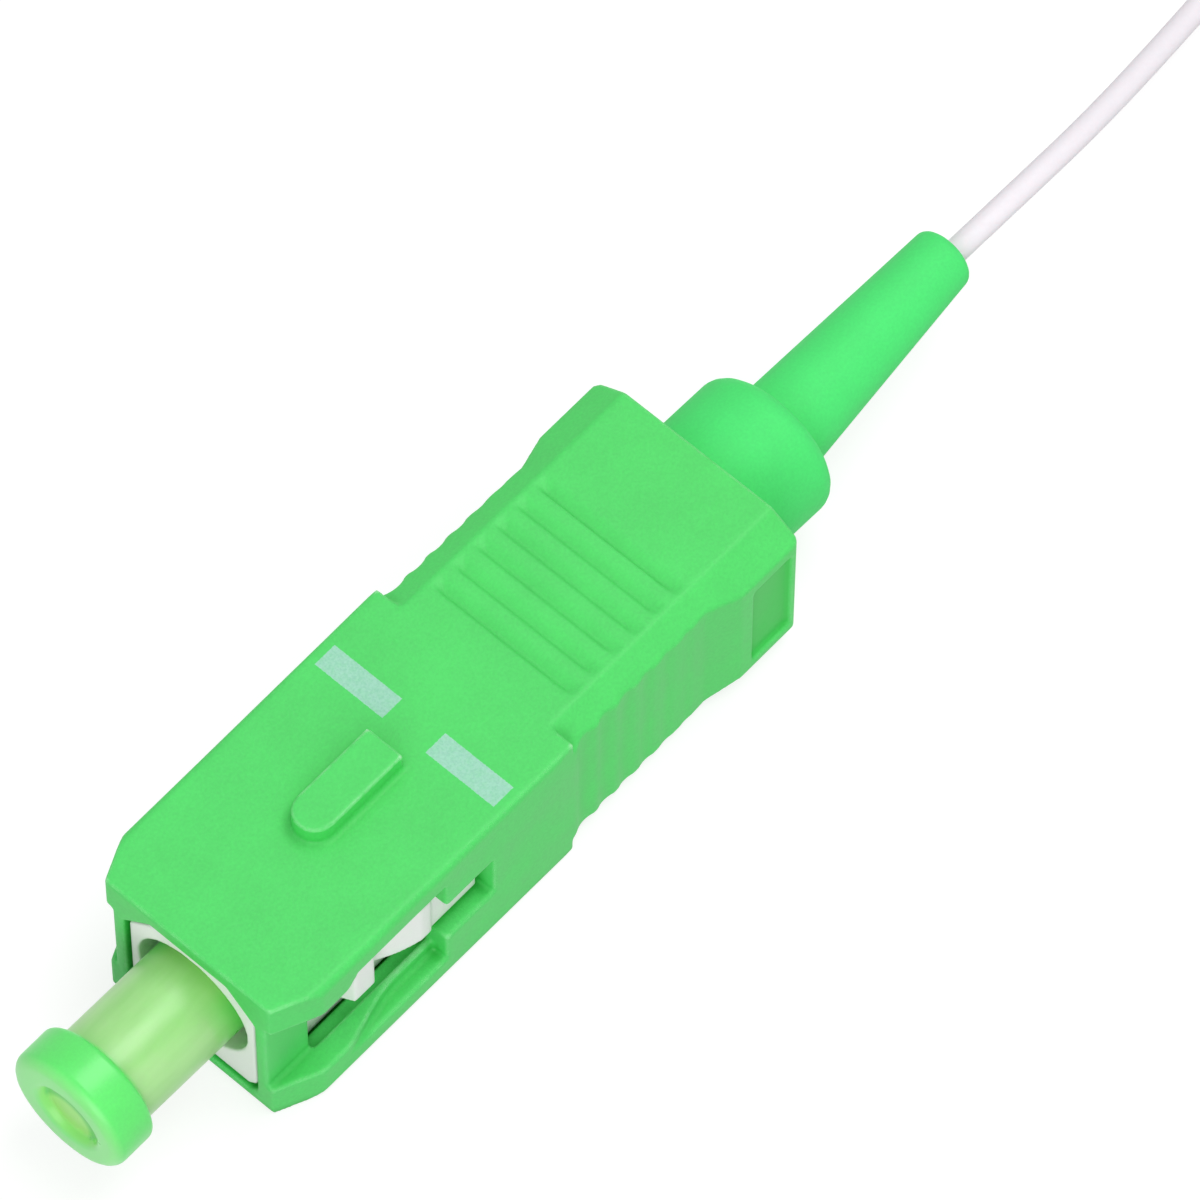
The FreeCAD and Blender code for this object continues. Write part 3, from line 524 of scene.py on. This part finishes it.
def between(pairs, place):
    """The value at a place, on straight lines through pairs (place, value) in rising order."""
    return float(np.interp(place, *zip(*pairs)))


def lean(obj, pairs, core):
    """Moves a turned piece's outer skin, beyond the core radius, sideways along its length."""
    for vertex in obj.data.vertices:
        if math.hypot(vertex.co.y, vertex.co.z) > core * MM:
            vertex.co.y += between(pairs, vertex.co.x / MM) * MM


def copied(name, node):
    """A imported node's mesh as an object of its own."""
    return put(bpy.data.objects.new(name, frame["nodes"][node].data.copy()))


def weld(obj):
    """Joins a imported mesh's split corners, and shades its round faces as round."""
    obj.data.shade_smooth()
    obj.modifiers.new("weld", "WELD").merge_threshold = PACKED_GAP


def keep_edges(obj):
    """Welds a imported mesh, and shades its edges as sharp."""
    weld(obj)
    obj.modifiers.new("split", "EDGE_SPLIT").split_angle = math.radians(SPLIT_ANGLE)


def soften(obj, grid):
    """Remeshes a moulded piece on a fine grid and smooths it, which rounds its edges a little."""
    weld(obj)
    remesh = obj.modifiers.new("remesh", "REMESH")
    remesh.mode, remesh.voxel_size, remesh.use_smooth_shade = "VOXEL", grid * MM, True
    smooth = obj.modifiers.new("smooth", "SMOOTH")
    smooth.factor, smooth.iterations = 0.5, 5
    obj.modifiers.new("lighten", "DECIMATE").ratio = 0.25


def dress(obj, body, slot, *nodes):
    """Gives a piece its finish and body, and hides the imported nodes that it stands for."""
    obj.data.materials.clear()
    obj.data.materials.append(finish_of(slot))
    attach(obj, body)
    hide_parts(*nodes)


# ---------------------------------------------------------------- pieces

# The grip's step, and behind it, as packed, how far out its bevels start, how steeply they fall, and
# how far out its finger grooves end.
GRIP_STEP = -13.9
PACKED_BEVEL, PACKED_SLOPE, PACKED_GROOVE = 3.575, 1.27, 3.45
# The same in the photograph: shallower bevels, and grooves whose floors end before their mouths.
BEVEL, SLOPE, GROOVE_MOUTH, GROOVE_FLOOR = 3.32, 0.65, 3.2, 2.6
# Points further out than FLANK lie on the flanks, and points within SLACK of a bevel or flat lie on it.
FLANK, SLACK = 3.85, 0.03
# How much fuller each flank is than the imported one, as pairs (x, added).
FULLER = [(-25.8, 0.115), (-22.9, 0.115), (-20.7, 0.25), (-16.0, 0.25), (-15.1, 0.27), (-14.6, 0.2),
          (GRIP_STEP, 0.0)]


def reshaped(x, out, level):
    """The new distances of a point of the grip, out from the middle and above or below it."""
    bevel_level = GRIP_FLAT - PACKED_SLOPE * (out - PACKED_BEVEL)
    bevelled = out > PACKED_BEVEL - SLACK and abs(level - bevel_level) < SLACK
    if out > FLANK:
        out += between(FULLER, x)
    elif bevelled:
        out = BEVEL
    elif abs(out - PACKED_GROOVE) < SLACK:
        out = GROOVE_MOUTH if level > GRIP_FLAT - SLACK else GROOVE_FLOOR
    if bevelled:
        level = GRIP_FLAT - SLOPE * (out - BEVEL)
    return out, level


def make_grip():
    """The grip as packed, but fuller in the waist, with shallower bevels behind the step, and
    finger grooves that run out gently instead of ending in a wall."""
    grip = copied("grip_skin", "grip")
    for vertex in grip.data.vertices:
        x, y, z = (value / MM for value in vertex.co)
        if x <= GRIP_STEP:
            out, level = reshaped(x, abs(y), abs(z))
            vertex.co.y = math.copysign(out * MM, y)
            vertex.co.z = math.copysign(level * MM, z)
    soften(grip, GRIDS["grip"])
    dress(grip, "grip", "green_plastic", "grip")


def make_boot():
    """The rubber boot: a cylinder with a round shoulder, a tapered tail and a rolled tip."""
    low, high = millimetres("boot")
    side, neck, hole = high.y, 1.62, 0.48
    tail_root, tail_end = 1.75, 1.175
    shoulder, depth, tip = high.x - 9.6, high.x - 4.7, low.x - 0.28
    boot = turned("boot_skin", [
        (high.x, neck, 0), (high.x, side, 0.15), (shoulder, side, 0.75), (shoulder, tail_root, 0.4),
        (tip, tail_end, 0.35), (tip, hole, 0.06), (depth, hole, 0), (depth, neck, 0),
    ])
    lean(boot, [(tip, -0.15), (-29.5, 0.2), (-27.3, 0.2), (-25.9, 0.0)], core=0.8)
    dress(boot, "plug", "green_rubber", "boot")


def make_cap():
    """The dust cap: a tube over the ferrule, and a rounded flange with a round recess in its end."""
    low, high = millimetres("dust_cap")
    flange, wall, bore = high.x - CAP_FLANGE, 1.9745, 1.2745
    floor = high.x - 0.35
    inside = floor - 0.6
    cap = turned("cap_skin", [
        (low.x, bore, 0), (low.x, wall, 0.15), (flange, wall, 0.12), (flange, high.y, 0.25),
        (high.x, high.y, 0.45), (high.x, CAP_RECESS + 0.1, 0.3), (floor, CAP_RECESS - 0.1, 0.2),
        (floor, 0, 0), (inside, 0, 0), (inside, bore, 0),
    ])
    lean(cap, [(low.x, 0.0), (low.x + 3.0, -0.09), (high.x, -0.1)], core=1.6)
    dress(cap, "dust_cap", "cap_plastic", "dust_cap")


def make_spring():
    """The spring as packed, with its own copy of the mesh."""
    spring = copied("spring", "coil_spring")
    keep_edges(spring)
    dress(spring, "plug", "spring_steel", "coil_spring")
    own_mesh(spring)


def make_tie():
    """The white wrap round the hank: thin, a little creased, and drawn in between the two runs."""
    low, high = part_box("coil_tie")
    size, middle = high - low, (high + low) / 2
    wall, corner, waist, crease = (value * MM for value in (0.25, 0.9, 0.35, 0.05))
    creases_a_metre, around, along = 900, 120, 16
    mesh = bmesh.new()
    rings = []
    for skin, steps in ((0, range(along + 1)), (wall, reversed(range(along + 1)))):
        half_y, half_z, radius = size.y / 2 - skin, size.z / 2 - skin, corner - skin
        path = evenly(rounded([(half_y, half_z, radius), (-half_y, half_z, radius),
                               (-half_y, -half_z, radius), (half_y, -half_z, radius)], steps=8), around)
        for step in steps:
            x = low.x + size.x * step / along
            ring = []
            for point in path:
                drawn = waist * max(0.0, math.cos(math.pi * point.x / size.y)) ** 2
                creased = crease * abs(noise.noise(Vector((x, point.x, point.y)) * creases_a_metre))
                level = math.copysign(abs(point.y) - drawn - creased, point.y)
                ring.append(mesh.verts.new((x, middle.y + point.x, middle.z + level)))
            rings.append(ring)
    tie = skinned("tie_wrap", mesh, rings)
    dress(tie, "plug", "wrap", "coil_tie")
    return tie


def dress_nodes():
    """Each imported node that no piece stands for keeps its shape, and gets its slot's finish."""
    for part in frame["record"]["subparts"]:
        name, slot = part["node"], part["material_slot"]
        node = frame["nodes"][name]
        if node.hide_render:
            continue
        node.data.materials.clear()
        node.data.materials.append(finish_of(slot))
        if name in GRIDS:
            soften(node, GRIDS[name])
        else:
            keep_edges(node)


dress(cord, "plug", "cord_jacket", "cord_run", "cord_hank")
make_grip()
make_boot()
make_cap()
make_spring()
tie = make_tie()
dress_nodes()

# ---------------------------------------------------------------- light and stage


def grey(level):
    return (level, level, level, 1.0)


def add_light(name, direction, distance, size, watts):
    """A square soft light that shines on the connector's middle from a direction. Its distance and
    size are in metres."""
    data = bpy.data.lights.new(name, "AREA")
    data.shape, data.size, data.energy = "SQUARE", size, watts
    lamp = put(bpy.data.objects.new(name, data))
    aim, middle = Vector(direction).normalized(), Vector((-18, 0, 0)) * MM
    turn = aim.to_track_quat("Z", "Y").to_matrix().to_4x4()
    lamp.matrix_world = Matrix.Translation(middle + aim * distance) @ turn


def add_stage():
    """A floor that shows white behind the object and keeps its faint shadow."""
    bpy.ops.mesh.primitive_plane_add(size=6, location=(0, 0, cad_box[0].z))
    floor = bpy.context.object
    floor.name = "floor"
    material = bpy.data.materials.new("floor")
    graph = Graph(material)
    pale = graph.add("ShaderNodeBsdfDiffuse", {"Color": grey(0.5)})
    # In full light these two add up to white, and only the first one darkens in shadow.
    shadowed = graph.add("ShaderNodeBsdfDiffuse", {"Color": grey(0.3)})
    glow = graph.add("ShaderNodeEmission", {"Strength": 0.78})
    white = graph.add("ShaderNodeAddShader", {0: shadowed.outputs[0], 1: glow.outputs[0]})
    graph.add("ShaderNodeOutputMaterial", {"Surface": graph.split_rays(pale, white)})
    floor.data.materials.append(material)


def add_world():
    """Even white light from all round, and plain white behind everything."""
    world = bpy.data.worlds.new("world")
    graph = Graph(world)
    soft = graph.add("ShaderNodeBackground", {"Color": grey(1), "Strength": 0.5})
    white = graph.add("ShaderNodeBackground", {"Color": grey(1)})
    graph.add("ShaderNodeOutputWorld", {"Surface": graph.split_rays(soft, white)})
    scene.world = world


add_stage()
add_world()
add_light("key", (-0.3, 0.12, 0.95), distance=0.45, size=0.26, watts=0.87)
add_light("fill", (0.8, 0.6, 0.45), distance=0.7, size=0.5, watts=2.0)
scene.view_settings.view_transform = "Standard"
